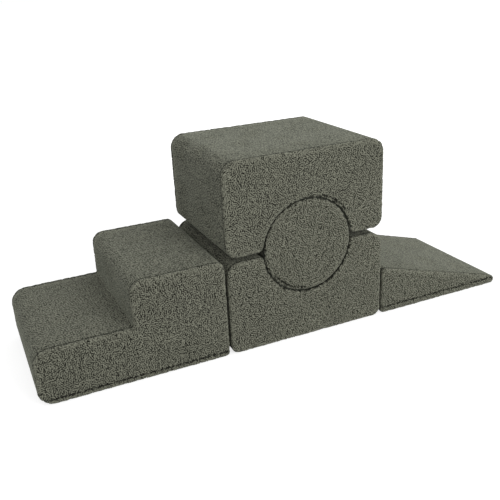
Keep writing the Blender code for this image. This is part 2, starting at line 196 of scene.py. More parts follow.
# Camera, fitted to the photograph's outlines
CAMERA_PLACE = (-0.9919, -2.1123, 1.1905)
CAMERA_YAW = 0.4164
CAMERA_PITCH = 0.3854
CAMERA_ROLL = -0.0498
SENSOR = 36.0
LENS = 48.46
CLIP_END = 200.0

# Finishes, as linear colours. A noise has a scale, a detail and sometimes a roughness, and a bump a
# strength and a distance. Stops are where a blend of two colours starts and ends, and shades how
# dark and how light a colour gets.
# The pits' green is painted shade among the curls; the tips' green is the cloth's own colour.
PIT_SHADE_GREEN = (0.006, 0.0064, 0.004)
TIP_GREEN = (0.244, 0.247, 0.192)
SHEEN = 0.25
SHEEN_ROUGHNESS = 0.5
SHEEN_TINT = (0.75, 0.80, 0.66)
YARN_NOISE = (195.0, 1.0)
YARN_SHARE = 1.9
YARN_BUMP = (0.6, 0.0012)
PATCH_NOISE = (11.0, 3.0)
PATCH_SHADES = (0.84, 1.16)
BOTTOM_GREEN = (0.070, 0.075, 0.056)
BOTTOM_THREADS = 160.0
TAPE_GREEN = (0.072, 0.077, 0.058)
TAPE_THREADS = 420.0
THREAD_WOBBLE = 0.4
THREAD_DARK = 0.55
THREAD_STOPS = (0.2, 0.9)
WEAVE_NOISE = (9.0, 3.0)
WEAVE_SHADES = (0.88, 1.12)
WEAVE_BUMP = (0.5, 0.0005)
FOAM_CREAM = (0.72, 0.66, 0.50)
FOAM_SHADE = (0.50, 0.44, 0.31)
FOAM_NOISE = (12.0, 2.0)
FOAM_SHADES = (0.93, 1.05)
PORE_SCALE = 450.0
PORE_STOPS = (0.05, 0.7)
PORE_BUMP = (0.4, 0.001)
ZIP_GREY = (0.160, 0.165, 0.150)
ZIP_WORN = (0.240, 0.245, 0.225)
WEAR_NOISE = (160.0, 4.0, 0.7)
WEAR_STOPS = (0.35, 0.75)
WEAR_ROUGHNESS = (0.35, 0.52)

# Studio. A light has a name, a place, a point it is aimed at, a size and a power.
WHITE = (1.0, 1.0, 1.0, 1.0)
AMBIENT = 0.60
FLOOR_REACH = 60.0
FLOOR_COLOUR = (0.50, 0.50, 0.50)
NEAR_GLOW = 0.76
FAR_GLOW = 1.02
NEAR_FLOOR = 1.2
FAR_FLOOR = 2.6
LIGHTS = (
    ("overhead", (-0.4, -0.3, 2.9), (0.0, 0.0, 0.3), 1.8, 4.0),
    ("front", (1.3, -4.0, 1.7), (0.0, 0.0, 0.3), 2.6, 90.0),
)


# Outlines. An outline runs anticlockwise, seen from the front, and knows which way is out.


def bend(centre_x, centre_z, radius, start, end, hollow=False):
    """An arc of an outline, from one angle to another in degrees."""
    return centre_x, centre_z, radius, start, end, hollow


def trace(bends, spacing, closed=True):
    """Points along the bends and the straight runs between them, with their outward directions.
    Where two bends touch, they share one point."""
    places, outward = [], []
    for centre_x, centre_z, radius, start, end, hollow in bends:
        reach = radius + EDGE_ROLL if hollow else radius
        steps = max(ARC_STEPS, math.ceil(math.radians(abs(end - start)) * reach / spacing))
        angles = np.radians(np.linspace(start, end, steps + 1))
        away = np.stack([np.cos(angles), np.sin(angles)], 1)
        arc = np.array([centre_x, centre_z]) + radius * away
        first = 0
        if places:
            first = int(math.dist(places[-1][-1], arc[0]) < GAP)
            add_run(places, outward, places[-1][-1], arc[0], spacing)
        places.append(arc[first:])
        outward.append((-away if hollow else away)[first:])
    if closed:
        add_run(places, outward, places[-1][-1], places[0][0], spacing)
    return np.concatenate(places), np.concatenate(outward)


def add_run(places, outward, start, end, spacing):
    """The points strictly between two arcs, on the straight run that joins them."""
    along = end - start
    length = np.linalg.norm(along)
    steps = round(length / spacing)
    if steps < 2:
        return
    shares = np.arange(1, steps)[:, None] / steps
    places.append(start + along * shares)
    outward.append(np.repeat([[along[1], -along[0]]], steps - 1, 0) / length)


def stairs_bends(left, right, top):
    """Two rounded steps with a crease between them, from the lower right corner round."""
    heel, shoulder, toe = STAIRS_HEEL_RADIUS, STAIRS_SHOULDER_RADIUS, STAIRS_TOE_RADIUS
    upper, lower = UPPER_NOSE_RADIUS, LOWER_NOSE_RADIUS
    riser, crease = left + STEP_RUN, STEP_CREASE_RADIUS
    return [
        bend(right - heel, heel, heel, -90, 0),
        bend(right - shoulder, top - shoulder, shoulder, 0, 90),
        bend(riser + upper, top - upper, upper, 90, 180),
        bend(riser - crease, STEP_HEIGHT + crease, crease, 0, -90, hollow=True),
        bend(left + lower, STEP_HEIGHT - lower, lower, 90, 180),
        bend(left + toe, toe, toe, 180, 270),
    ]


def notched_bends(left, right, top, notch_z, notch_radius, foot, shoulder, lip):
    """A block with a round notch in its top, from the lower right corner round. Foot and
    shoulder are the radii of its lower and upper corners, lip of the notch's edges."""
    middle = (left + right) / 2
    lip_z = top - lip
    reach = notch_radius + lip
    offset = math.sqrt(reach ** 2 - (notch_z - lip_z) ** 2)
    tilt = math.degrees(math.asin((notch_z - lip_z) / reach))
    return [
        bend(right - foot, foot, foot, -90, 0),
        bend(right - shoulder, top - shoulder, shoulder, 0, 90),
        bend(middle + offset, lip_z, lip, 90, 180 - tilt),
        bend(middle, notch_z, notch_radius, -tilt, tilt - 180, hollow=True),
        bend(middle - offset, lip_z, lip, tilt, 90),
        bend(left + shoulder, top - shoulder, shoulder, 90, 180),
        bend(left + foot, foot, foot, 180, 270),
    ]


def ramp_bends(left, right, top):
    """A slope from the brow down to a thin round tip, from the tip's underside round."""
    tip, brow, heel = RAMP_TIP_RADIUS, RAMP_BROW_RADIUS, RAMP_HEEL_RADIUS
    across, fall = right - left - tip, tip - top
    slope = -math.atan2(fall, across) - math.asin(tip / math.hypot(across, fall))
    sine, cosine = math.sin(slope), math.cos(slope)
    touch_x, touch_z = across + tip * sine, tip + tip * cosine
    brow_z = touch_z + (touch_x - brow) * sine / cosine - brow / cosine
    up = 90 - math.degrees(slope)
    return [
        bend(left + across, tip, tip, -90, up),
        bend(left + brow, brow_z, brow, up, 180),
        bend(left + heel, heel, heel, 180, 270),
    ]


def turned_over(outline, low_and_high):
    """An outline upside down, still running anticlockwise, from the sum of its two heights."""
    places, outward = outline
    flip = np.array([1.0, -1.0])
    return (places * flip + [0, low_and_high])[::-1], (outward * flip)[::-1]


def opened_at(outline, place):
    """A closed outline cut open at its nearest point to a place, with a gap for the seam."""
    places, outward = outline
    cut = np.argmin(np.linalg.norm(places - place, axis=1))
    places, outward = np.roll(places, -cut, 0), np.roll(outward, -cut, 0)
    along = np.array([-outward[0][1], outward[0][0]]) * GAP / 2
    places = np.concatenate([places[:1] + along, places[1:], places[:1] - along])
    return places, np.concatenate([outward, outward[:1]])


def straight(start, end):
    """Points along a straight seam, closer together than the pile."""
    return np.linspace(start, end, SEAM_POINTS)


def curved(centre_x, centre_z, radius, start=0, end=360):
    """Points along a round seam, from one angle to another in degrees."""
    angles = np.radians(np.linspace(start, end, SEAM_POINTS))
    return np.stack([centre_x + radius * np.cos(angles), centre_z + radius * np.sin(angles)], 1)


# Noise. It runs over the cloth laid flat, so it has the same size on a face and on a roll.


def waves(cloth, sizes, count, seed, nap=None):
    """Smooth noise of unit spread whose bumps measure between two sizes. A nap, where there is
    one, draws them out into strokes."""
    random = np.random.default_rng(seed)
    angles = random.uniform(0, 2 * math.pi, count)
    turns = 2 * math.pi * np.sqrt(random.uniform(sizes[1] ** -2, sizes[0] ** -2, count))
    phase = random.uniform(0, 2 * math.pi, count)
    total = np.zeros(len(cloth))
    for angle, turn, start in zip(angles, turns, phase):
        wave = np.cos(cloth @ (turn * np.array([math.cos(angle), math.sin(angle)])) + start)
        if nap is not None:
            wave *= 1 + nap @ np.array([math.cos(2 * angle), math.sin(2 * angle)])
        total += wave
    return total * math.sqrt(2 / count)


def nap_of(cloth, seed):
    """How the pile lies: a direction that turns slowly over the cloth, as a pair of numbers."""
    turn = NAP_TURN * waves(cloth, NAP_SIZES, SLOW_WAVES, seed + NAP_SEED)
    return NAP_SHARE * np.stack([np.cos(turn), np.sin(turn)], 1)


def curls(cloth, spacing, seed):
    """The pile, from 0 in its pits to 1 on its curls: single curls, locks of them and tufts. They
    are larger where the mesh's spacing is too wide for the smallest."""
    nap = nap_of(cloth, seed)
    total = 0
    for number, (share, sizes) in enumerate(FINE_CURLS if spacing < FINE_ENOUGH else WIDE_CURLS):
        total += share * waves(cloth, sizes, CURL_WAVES, seed + CURLS_SEED + number, nap)
    return 1 / (1 + np.exp(-CURL_SHARPNESS * total))


def near(away, reach):
    """1 on a line, and less and less away from it, down to 0."""
    return np.exp(-(away / reach) ** 2)


def uneven(wander, middle, swing, least, most):
    """A share that wanders about its middle with some waves, between two ends."""
    return np.clip(middle + swing * wander, least, most)


# Cloth


def linked(name, data):
    """A new object in the scene."""
    obj = bpy.data.objects.new(name, data)
    bpy.context.scene.collection.objects.link(obj)
    return obj


def new_object(name, points, faces):
    """A smooth-shaded mesh object."""
    mesh = bpy.data.meshes.new(name)
    mesh.from_pydata(points, [], faces)
    mesh.shade_smooth()
    return linked(name, mesh)


def read_vectors(collection, attribute):
    """The vectors that a mesh holds, as an array of rows."""
    values = np.empty(len(collection) * 3)
    collection.foreach_get(attribute, values)
    return values.reshape(-1, 3)


def quads_between(rings, turn=False):
    """Quads between closed rings of point numbers, from each ring to the next."""
    faces = []
    for low, high in zip(rings, rings[1:]):
        corners = (low, high, np.roll(high, -1), np.roll(low, -1))
        faces.append(np.stack(corners[::-1] if turn else corners, 1))
    return np.concatenate(faces).tolist()


def tree_of(points):
    """A search tree over flat points."""
    tree = KDTree(len(points))
    for index, (x, z) in enumerate(points):
        tree.insert((x, z, 0), index)
    tree.balance()
    return tree


def distances(tree, points):
    """How far each flat point is from the nearest point in the tree."""
    return np.array([tree.find((x, z, 0))[2] for x, z in points])


def loose_grid(ring, spacing, seed):
    """Shaken grid points over a ring's box, none of them on the ring itself."""
    low, high = ring.min(0), ring.max(0)
    across = np.arange(low[0], high[0], spacing)
    up = np.arange(low[1], high[1], spacing)
    points = np.stack(np.meshgrid(across, up), -1).reshape(-1, 2)
    shake = GRID_SHAKE * spacing
    points += np.random.default_rng(seed).uniform(-shake, shake, points.shape)
    return points[distances(tree_of(ring), points) > GRID_CLEARANCE * spacing]


def outside_box(points, ring, margin):
    """Which flat points are clear of a rectangle by the margin."""
    low, high = ring.min(0) - margin, ring.max(0) + margin
    return ~np.all((points > low) & (points < high), axis=1)


def filled(ring, extra=None, hole=None):
    """Triangles that fill a ring, as numbers into the ring, the hole and the extra points."""
    parts = [part for part in (ring, hole, extra) if part is not None]
    points = np.concatenate(parts)
    edges = []
    if hole is not None:
        numbers = np.arange(len(hole)) + len(ring)
        edges = np.stack([numbers, np.roll(numbers, -1)], 1).tolist()
    border = [list(range(len(ring)))]
    made = delaunay_2d_cdt(points.tolist(), edges, border, FILL_INSIDE, FILL_MERGE)
    source = np.array([origin[0] if origin else -1 for origin in made[3]])
    faces = source[np.array(made[2])]
    if hole is not None:
        faces = faces[outside_box(points[faces].mean(1), hole, 0)]
    return faces


def rectangle_ring(low, high, spacing):
    """The points round a rectangle, anticlockwise."""
    corners = np.array([(low[0], low[1]), (high[0], low[1]), (high[0], high[1]), (low[0], high[1])])
    sides = []
    for start, end in zip(corners, np.roll(corners, -1, 0)):
        steps = max(SIDE_STEPS, round(np.linalg.norm(end - start) / spacing))
        sides.append(start + (end - start) * np.arange(steps)[:, None] / steps)
    return np.concatenate(sides)


def roll_rows(radius, spacing):
    """Inset and depth pairs round a quarter roll, from the face to the side."""
    steps = max(ARC_STEPS, round(radius * math.pi / 2 / spacing))
    angles = np.linspace(0, math.pi / 2, steps + 1)
    return [(EDGE_ROLL - radius * math.sin(a), EDGE_ROLL - radius * math.cos(a)) for a in angles]


def at_depth(flat, y):
    """Flat points put at one place along Y."""
    return np.insert(flat, 1, y, axis=1)


def panel_stations(spacing):
    """Inset and depth pairs round a panel's edge, from its face to its inside, and how many of
    them show."""
    shown = roll_rows(EDGE_ROLL, max(spacing, ROLL_SPACING))
    shown += [(0.0, EDGE_ROLL + share * SEAM_SIDE) for share in SIDE_SHARES]
    tucked = [(deep * TUCK, SEAM_SET - short * SEAM_SIDE) for deep, short in TUCK_STEPS]
    return shown + tucked + roll_rows(EDGE_ROLL - COVER, COARSE)[::-1], len(shown)


def make_panel(name, outline, face_y, inward, spacing, seed, slot=None, creases=(), rim=None):
    """A front or back panel of teddy cloth. Inward is 1 where its module lies towards +Y. Slot is
    the rectangle cut out for the zip. Creases are seams and folds across the panel, which dip and
    get painted shade, and rim the stretch of its edge that presses on a neighbour, where shade is
    painted into the pile."""
    places, outward = outline
    stations, shown = panel_stations(spacing)
    rings = [places - inset * outward for inset, _ in stations]
    points = [at_depth(ring, face_y + inward * depth) for ring, (_, depth) in zip(rings, stations)]
    steps = [math.dist(a, b) for a, b in zip(stations, stations[1:])]
    cloth = [rings[0] + outward * along for along in np.append(0, np.cumsum(steps))]
    numbers = np.arange(len(places) * len(stations)).reshape(len(stations), -1)
    faces = quads_between(numbers)
    first = numbers.size
    grid = loose_grid(rings[0], spacing, seed)
    outer, inner = numbers[0], numbers[-1]
    hole = None
    if slot is not None:
        hole = rectangle_ring(*slot, spacing)
        grid = grid[outside_box(grid, hole, spacing / 2)]
        outer_hole = np.arange(len(hole)) + first
        inner_hole = outer_hole + len(hole)
        points += [at_depth(hole, face_y), at_depth(hole, face_y + inward * COVER)]
        cloth += [hole, hole]
        faces += quads_between([outer_hole, inner_hole], turn=True)
        outer, inner = np.append(outer, outer_hole), np.append(inner, inner_hole)
        first += 2 * len(hole)
    points.append(at_depth(grid, face_y))
    cloth = np.concatenate(cloth + [grid])
    outer = np.append(outer, np.arange(len(grid)) + first)
    faces += outer[filled(rings[0], grid, hole)].tolist()
    faces += inner[filled(rings[-1], None, hole)][:, ::-1].tolist()
    if inward < 0:
        faces = [face[::-1] for face in faces]
    points = np.concatenate(points)
    raised = np.zeros(len(points), bool)
    raised[:len(places) * shown] = True
    raised[first:] = True
    flat = points[:, [0, 2]]
    away = distances(tree_of(places), flat)
    away += SEAM_SET - inward * (points[:, 1] - face_y)
    sewn = np.zeros(len(points))
    sewn[:numbers.size] = np.tile(sewn_shares(outward), len(stations))
    limits = {
        "away": away,
        "sewn": sewn if inward > 0 else sewn * BACK_SEAM_SHARE,
        "rolls": np.full(len(points), FRONT_ROLL if inward > 0 else BACK_ROLL),
        "folds": nearest_crease(flat, creases),
        "room": np.minimum(FREE_RISE, ROOM_SLOPE * (away - SEAM_SIDE) - TIGHT),
        "calm": beside_slot(flat, slot),
    }
    obj = new_object(name, points, faces)
    raise_pile(obj, raised, cloth, limits, PANEL_SINK, spacing, seed)
    if rim is not None:
        shade_rim(obj, cloth, distances(tree_of(rim), flat), seed)
    drop_loose(obj)
    return obj


def nearest_crease(flat, creases):
    """How far each flat point is from the nearest crease, where there is one."""
    folds = np.full(len(flat), np.inf)
    for crease in creases:
        folds = np.minimum(folds, distances(tree_of(crease), flat))
    return folds


def beside_slot(flat, slot):
    """How free the pile is beside a zip: 0 close to its slot, where it lies pressed, and 1 clear
    of it."""
    if slot is None:
        return np.ones(len(flat))
    low, high = np.array(slot)
    beside = np.linalg.norm(np.maximum(np.maximum(low - flat, flat - high), 0), axis=1)
    return np.clip((beside - ZIP_CALM) / ZIP_CALM, 0, 1)


def make_strip(name, outline, low_y, high_y, spacing, seed):
    """A boxing strip of teddy cloth round a module, between its two seams. Its curls rise to the
    module's own size and no further, because its neighbours press on it."""
    places, outward = outline
    tuck = [(deep * TUCK, short * SEAM_SIDE) for deep, short in TUCK_STEPS[::-1]]
    start = STRIP_START * SEAM_SIDE
    steps = round((high_y - low_y) / spacing)
    stations = [(inset, low_y + depth) for inset, depth in tuck]
    stations += [(0.0, y) for y in np.linspace(low_y + start, high_y - start, steps)]
    stations += [(inset, high_y - depth) for inset, depth in tuck[::-1]]
    stations += [(COVER, high_y - SEAM_SIDE), (COVER, low_y + SEAM_SIDE)]
    points = np.stack([at_depth(places - inset * outward, y) for inset, y in stations], 1)
    numbers = np.arange(points.shape[0] * points.shape[1]).reshape(points.shape[:2])
    raised = np.zeros(numbers.shape, bool)
    raised[:, len(tuck):len(tuck) + steps] = True
    before, after = numbers[:-1], numbers[1:]
    corners = (before, np.roll(before, -1, 1), np.roll(after, -1, 1), after)
    faces = np.stack(corners, -1).reshape(-1, 4).tolist()
    faces += [numbers[0][::-1].tolist(), numbers[-1].tolist()]
    steps_along = np.linalg.norm(np.diff(places, axis=0), axis=1)
    along = np.repeat(np.append(0, np.cumsum(steps_along)), len(stations))
    points = points.reshape(-1, 3)
    cloth = np.stack([along, points[:, 1]], 1)
    behind = points[:, 1] > (low_y + high_y) / 2
    sewn = np.repeat(sewn_shares(outward), len(stations))
    limits = {
        "away": np.minimum(points[:, 1] - low_y, high_y - points[:, 1]),
        "sewn": np.where(behind, BACK_SEAM_SHARE, 1) * sewn,
        "rolls": BACK_STRIP_ROLL * behind,
        "folds": np.full(len(points), np.inf),
        "room": np.full(len(points), -TIGHT),
        "calm": np.ones(len(points)),
    }
    obj = new_object(name, points, faces)
    raise_pile(obj, raised.ravel(), cloth, limits, STRIP_SINK, spacing, seed)
    return obj


def sewn_shares(outward):
    """How plainly the seam shows round an outline, in its dip and its painted shade: less down its
    upright sides.
    """
    return UPRIGHT_SEAM_SHARE + (1 - UPRIGHT_SEAM_SHARE) * np.abs(outward[:, 1])


def raise_pile(obj, raised, cloth, limits, sink, spacing, seed):
    """Move the outer face along its normals by the cloth's relief, and keep the height of the
    pile for the material, with painted shade along the seams and folds and a painted highlight on
    the rolled edges. Cloth is each point's place on the cloth laid flat. Its limits are how far
    away the sewn edge and the folds are, how plainly the edge's seam shows, how smooth the pile
    lies on the rolled edge and how strongly it is painted lighter there, how much room the cloth
    has to rise, and calm, which is 0 where it lies pressed flat. Sink is how deep the pile sits in
    the cloth's face."""
    mesh = obj.data
    points = read_vectors(mesh.vertices, "co")
    normals = read_vectors(mesh.vertex_normals, "vector")
    cloth = cloth[raised]
    held = {name: values[raised] for name, values in limits.items()}
    away = np.maximum(held["away"], 0)
    # Seams and folds dip into the cloth and also get painted shade in the pile's colour.
    breaks = waves(cloth, SEAM_BREAKS, SLOW_WAVES, seed + BREAKS_SEED)
    seam = held["sewn"] * near(away, SEAM_REACH) * uneven(breaks, *SEAM_SHOWS)
    fold = near(held["folds"], FOLD_REACH) * uneven(breaks, *FOLD_SHOWS)
    seam = np.maximum(seam, fold)
    # The rolled edge: calmer relief, and a painted highlight in the pile's colour.
    rolled = held["rolls"] * near(away - ROLL_MIDDLE, ROLL_REACH)
    rolled *= uneven(waves(cloth, ROLL_BREAKS, SLOW_WAVES, seed), *ROLL_SHOWS)
    pile = curls(cloth, spacing, seed)
    pile += (ROLL_CALM_AND_HIGHLIGHT - pile) * np.minimum(rolled, 1)
    pucker = PUCKER * waves(cloth, PUCKER_SIZES, SLOW_WAVES, seed + PUCKER_SEED)
    slack = SLACK * waves(cloth, SLACK_SIZES, SLACK_WAVES, seed + SLACK_SEED)
    height = PILE * (pile - sink) - SEAM_DIP * seam
    height += pucker * np.exp(-away / PUCKER_REACH)
    height += slack * (1 - np.exp(-away / SLACK_REACH))
    height += CROWN * (1 - np.exp(-away / CROWN_REACH))
    height = np.clip(height * held["calm"], LOWEST, held["room"])
    points[raised] += normals[raised] * height[:, None]
    points[:, 2] = np.maximum(points[:, 2], FLOOR_EASE)
    mesh.vertices.foreach_set("co", points.ravel())
    values = np.zeros(len(points), np.float32)
    # Painted shade: seams and folds pull the stored pile down towards a near-black value.
    values[raised] = pile + (PAINTED_CREASE_SHADE - pile) * seam
    attribute = mesh.attributes.new("pile", "FLOAT", "POINT")
    attribute.data.foreach_set("value", values)
    mesh.update()


def shade_rim(obj, cloth, away, seed):
    """Paint shade into the pile's colour close to a rim, where no light gets in between two
    modules.
    """
    attribute = obj.data.attributes["pile"]
    values = np.empty(len(away), np.float32)
    attribute.data.foreach_get("value", values)
    breaks = waves(cloth, RIM_BREAKS, SLOW_WAVES, seed + RIM_SEED)
    values += (PAINTED_CREASE_SHADE - values) * near(away, RIM_REACH * uneven(breaks, *RIM_SHOWS))
    attribute.data.foreach_set("value", values)


def drop_loose(obj):
    """Take out the grid points that lie outside a panel, which no face uses."""
    builder = bmesh.new()
    builder.from_mesh(obj.data)
    loose = [vertex for vertex in builder.verts if not vertex.link_faces]
    bmesh.ops.delete(builder, geom=loose, context="VERTS")
    builder.to_mesh(obj.data)
    builder.free()


def make_foam(name, outline, front_y, back_y):
    """The foam block inside a cover, rolled over at its edges."""
    places, outward = outline
    rows = roll_rows(EDGE_ROLL - COVER - GAP, COARSE)
    stations = [(inset, front_y + depth) for inset, depth in rows]
    stations += [(inset, back_y - depth) for inset, depth in rows[::-1]]
    rings = [places - inset * outward for inset, _ in stations]
    points = np.concatenate([at_depth(ring, y) for ring, (_, y) in zip(rings, stations)])
    numbers = np.arange(len(points)).reshape(len(stations), -1)
    faces = quads_between(numbers)
    cap = filled(rings[0])
    faces += numbers[0][cap].tolist()
    faces += numbers[-1][cap][:, ::-1].tolist()
    return new_object(name, points, faces)


def make_bottom(name, low, high):
    """The flat-woven panel under a module, with softened edges."""
    builder = bmesh.new()
    middle, size = (low + high) / 2, high - low
    matrix = Matrix.Translation(middle) @ Matrix.Diagonal((*size, 1.0))
    bmesh.ops.create_cube(builder, size=1.0, matrix=matrix)
    bmesh.ops.bevel(
        builder, geom=builder.edges[:], offset=BOTTOM_EDGE, segments=BOTTOM_SEGMENTS, affect="EDGES"
    )
    mesh = bpy.data.meshes.new(name)
    builder.to_mesh(mesh)
    builder.free()
    mesh.shade_smooth()
    return linked(name, mesh)


# Zips


def make_zip(name, low, high):
    """A zip's ribbed tape with its two cords, and the coil of teeth that stands on it."""
    face_y = high.y - CHAIN_RISE
    middle_z = (low.z + high.z) / 2
    half = (high.z - low.z) / 2
    cord = CHAIN_WIDTH / 2 + CORD_OFFSET
    section = [(-half, low.y), (half, low.y), (half, face_y - CORD_RISE)]
    for centre in (cord, -cord):
        for share in CORD_ROWS:
            lift = CORD_RISE if abs(share) < 1 else 0.0
            section.append((centre + share * CORD_HALF_WIDTH, face_y - CORD_RISE + lift))
    section.append((-half, face_y - CORD_RISE))
    ends = [[(x, y, middle_z + z) for z, y in section] for x in (low.x, high.x)]
    points = [np.array(ends[0] + ends[1])]
    count = len(section)
    numbers = np.arange(2 * count).reshape(2, count)
    faces = quads_between(numbers) + [numbers[0].tolist(), numbers[1].tolist()[::-1]]
    tooth, tooth_faces = make_tooth()
    teeth = int((high.x - low.x) / TOOTH_PITCH) - 1
    for index in range(teeth):
        lean = 1 if index % 2 else -1
        x = low.x + (index + 1) * TOOTH_PITCH
        points.append(tooth * [lean, 1, lean] + [x, face_y + CHAIN_RISE - TOOTH_RADIUS, middle_z])
        first = 2 * count + index * len(tooth)
        faces += [[number + first for number in face] for face in tooth_faces]
    return new_object(name, np.concatenate(points), faces)


def make_tooth():
    """One turn of the coil: a rounded bar across the chain that leans a little along it."""
    angles = np.arange(TOOTH_SIDES) * 2 * math.pi / TOOTH_SIDES
    points = []
    for share, girth in TOOTH_ROWS:
        radius = TOOTH_RADIUS * girth
        for angle in angles:
            x = radius * math.cos(angle) + TOOTH_LEAN * share
            y = radius * math.sin(angle) - TOOTH_RADIUS * share ** 2
            points.append((x, y, share * CHAIN_WIDTH / 2))
    numbers = np.arange(len(points)).reshape(len(TOOTH_ROWS), TOOTH_SIDES)
    faces = quads_between(numbers, turn=True)
    return np.array(points), faces + [numbers[0][::-1].tolist(), numbers[-1].tolist()]


# Materials


def set_inputs(node, values):
    """Set a node's inputs by name."""
    for name, value in values.items():
        node.inputs[name].default_value = value


def new_material(name, roughness, metallic=0.0, specular=0.3):
    """A Principled material with its node tree and shader."""
    material = bpy.data.materials.new(name)
    material.use_nodes = True
    tree = material.node_tree
    shader = tree.nodes["Principled BSDF"]
    values = {"Roughness": roughness, "Metallic": metallic, "Specular IOR Level": specular}
    set_inputs(shader, values)
    return material, tree, shader


def noise(tree, scale, detail, roughness=0.5):
    """Noise over the object's own coordinates, from 0 to 1."""
    place = tree.nodes.new("ShaderNodeTexCoord")
    node = tree.nodes.new("ShaderNodeTexNoise")
    set_inputs(node, {"Scale": scale, "Detail": detail, "Roughness": roughness})
    tree.links.new(place.outputs["Object"], node.inputs["Vector"])
    return node.outputs["Fac"]


def calculated(tree, operation, *values):
    """A Math node over sockets and numbers."""
    node = tree.nodes.new("ShaderNodeMath")
    node.operation = operation
    for socket, value in zip(node.inputs, values):
        if isinstance(value, (int, float)):
            socket.default_value = value
        else:
            tree.links.new(value, socket)
    return node.outputs["Value"]


def blended(tree, value, stops, low, high):
    """A colour between two along a value, which starts and ends at the stops."""
    node = tree.nodes.new("ShaderNodeValToRGB")
    for element, place, colour in zip(node.color_ramp.elements, stops, (low, high)):
        element.position = place
        element.color = (*colour, 1.0)
    tree.links.new(value, node.inputs["Fac"])
    return node.outputs["Color"]


def spread(tree, value, ends):
    """A value from 0 to 1 spread between two ends."""
    node = tree.nodes.new("ShaderNodeMapRange")
    set_inputs(node, dict(zip(("To Min", "To Max"), ends)))
    tree.links.new(value, node.inputs["Value"])
    return node.outputs["Result"]


def shaded(tree, colour, value, shades):
    """A colour made darker or lighter by a value."""
    node = tree.nodes.new("ShaderNodeVectorMath")
    node.operation = "SCALE"
    tree.links.new(colour, node.inputs[0])
    tree.links.new(spread(tree, value, shades), node.inputs["Scale"])
    return node.outputs["Vector"]


def bumped(tree, shader, height, strength, distance):
    """Relief finer than the mesh."""
    node = tree.nodes.new("ShaderNodeBump")
    set_inputs(node, {"Strength": strength, "Distance": distance})
    tree.links.new(height, node.inputs["Height"])
    tree.links.new(node.outputs["Normal"], shader.inputs["Normal"])


def teddy_material():
    """Curly pile: pits in painted shade, lighter curls of fine yarn, slow changes of tone, a soft
    sheen.
    """
    material, tree, shader = new_material("teddy_pile", roughness=0.95, specular=0.15)
    pile = tree.nodes.new("ShaderNodeAttribute")
    pile.attribute_name = "pile"
    yarn = calculated(tree, "SUBTRACT", noise(tree, *YARN_NOISE), 0.5)
    tips = calculated(tree, "MULTIPLY", yarn, YARN_SHARE)
    height = calculated(tree, "ADD", pile.outputs["Fac"], tips)
    # Painted shade: low pile values, in the pits and along seams, folds and rims, take a near-black
    # green.
    colour = blended(tree, height, (0.0, 1.0), PIT_SHADE_GREEN, TIP_GREEN)
    colour = shaded(tree, colour, noise(tree, *PATCH_NOISE), PATCH_SHADES)
    tree.links.new(colour, shader.inputs["Base Color"])
    tint = (*SHEEN_TINT, 1.0)
    values = {"Sheen Weight": SHEEN, "Sheen Roughness": SHEEN_ROUGHNESS, "Sheen Tint": tint}
    set_inputs(shader, values)
    bumped(tree, shader, yarn, *YARN_BUMP)
    return material


def woven_material(name, colour, scale):
    """Flat-woven cloth: threads that cross over and under, with some variation."""
    material, tree, shader = new_material(name, roughness=0.85)
    place = tree.nodes.new("ShaderNodeTexCoord")
    threads = []
    for direction in ("X", "Y"):
        wave = tree.nodes.new("ShaderNodeTexWave")
        wave.bands_direction = direction
        set_inputs(wave, {"Scale": scale, "Distortion": THREAD_WOBBLE})
        tree.links.new(place.outputs["Object"], wave.inputs["Vector"])
        threads.append(wave.outputs["Fac"])
    weave = calculated(tree, "MAXIMUM", *threads)
    dark = tuple(THREAD_DARK * part for part in colour)
    base = blended(tree, weave, THREAD_STOPS, dark, colour)
    base = shaded(tree, base, noise(tree, *WEAVE_NOISE), WEAVE_SHADES)
    tree.links.new(base, shader.inputs["Base Color"])
    bumped(tree, shader, weave, *WEAVE_BUMP)
    return material


def foam_material():
    """Open-cell foam: cream with small pores."""
    material, tree, shader = new_material("open_cell_foam", roughness=0.95)
    place = tree.nodes.new("ShaderNodeTexCoord")
    pores = tree.nodes.new("ShaderNodeTexVoronoi")
    pores.inputs["Scale"].default_value = PORE_SCALE
    tree.links.new(place.outputs["Object"], pores.inputs["Vector"])
    colour = blended(tree, pores.outputs["Distance"], PORE_STOPS, FOAM_CREAM, FOAM_SHADE)
    colour = shaded(tree, colour, noise(tree, *FOAM_NOISE), FOAM_SHADES)
    tree.links.new(colour, shader.inputs["Base Color"])
    bumped(tree, shader, pores.outputs["Distance"], *PORE_BUMP)
    return material


def metal_material():
    """Satin painted die-cast metal, a little worn and cloudy."""
    material, tree, shader = new_material(
        "zip_die_cast", roughness=0.42, metallic=0.6, specular=0.5
    )
    wear = noise(tree, *WEAR_NOISE)
    colour = blended(tree, wear, WEAR_STOPS, ZIP_GREY, ZIP_WORN)
    tree.links.new(colour, shader.inputs["Base Color"])
    tree.links.new(spread(tree, wear, WEAR_ROUGHNESS), shader.inputs["Roughness"])
    return material


# The climber


def dress(obj, body, slot, material, *nodes):
    """Give a piece its material, attach it to its module's body and hide the frame's pieces that it
    stands for.
    """
    obj.data.materials.append(material)
    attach(obj, body)
    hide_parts(*nodes)


def flat_corners(low, high, margin):
    """The X and Z corners of a box, grown by a margin."""
    return (low.x - margin, low.z - margin), (high.x + margin, high.z + margin)


